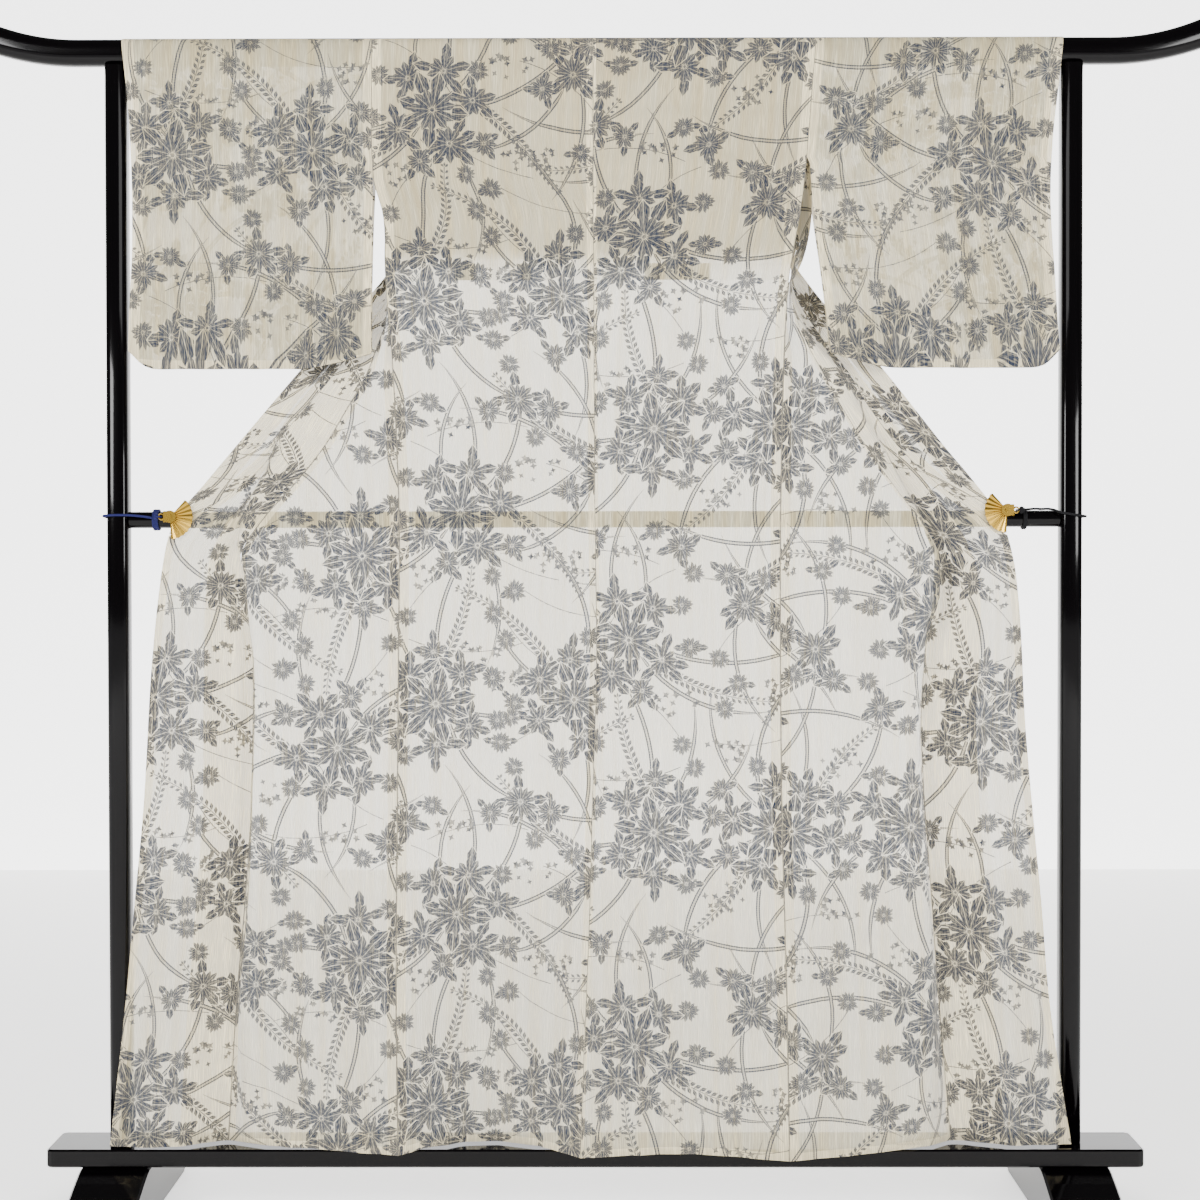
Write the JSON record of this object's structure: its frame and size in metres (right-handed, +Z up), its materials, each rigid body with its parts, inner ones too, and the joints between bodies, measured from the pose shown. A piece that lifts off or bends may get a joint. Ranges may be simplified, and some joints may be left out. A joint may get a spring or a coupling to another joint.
{
  "type": "komon kimono on a kimono stand",
  "caption": "Unlined summer kimono of printed crepe hung back outward over a lacquered stand, its fronts spread and clipped at the crossbar.",
  "frame": {"origin": "on the floor under the middle of the stand", "axes": "+X along the top bar to the viewer's right, +Y away from the shown back of the garment, +Z up"},
  "size_m": [1.8756, 0.42, 1.7444],
  "materials": {
    "crepe": "sheer matt crinkled crepe, off-white with a slate grey print",
    "lacquer": "glossy black lacquer on wood",
    "brass": "polished, pleated",
    "cord_blue": "indigo plaited cord",
    "cord_black": "black plaited cord"
  },
  "bodies": {
    "root": {"body_left": "crepe", "body_right": "crepe", "overlap_left": "crepe", "overlap_right": "crepe", "collar": "crepe", "sleeve_left": "crepe", "sleeve_right": "crepe", "tuck_left": "crepe", "tuck_right": "crepe", "top_bar": "lacquer", "post_left": "lacquer", "post_right": "lacquer", "cross_bar": "lacquer", "base_beam": "lacquer", "foot_left": "lacquer", "foot_right": "lacquer", "clip_left": "brass", "clip_right": "brass", "tie_left": "cord_blue", "tie_right": "cord_black"}
  },
  "joints": []
}
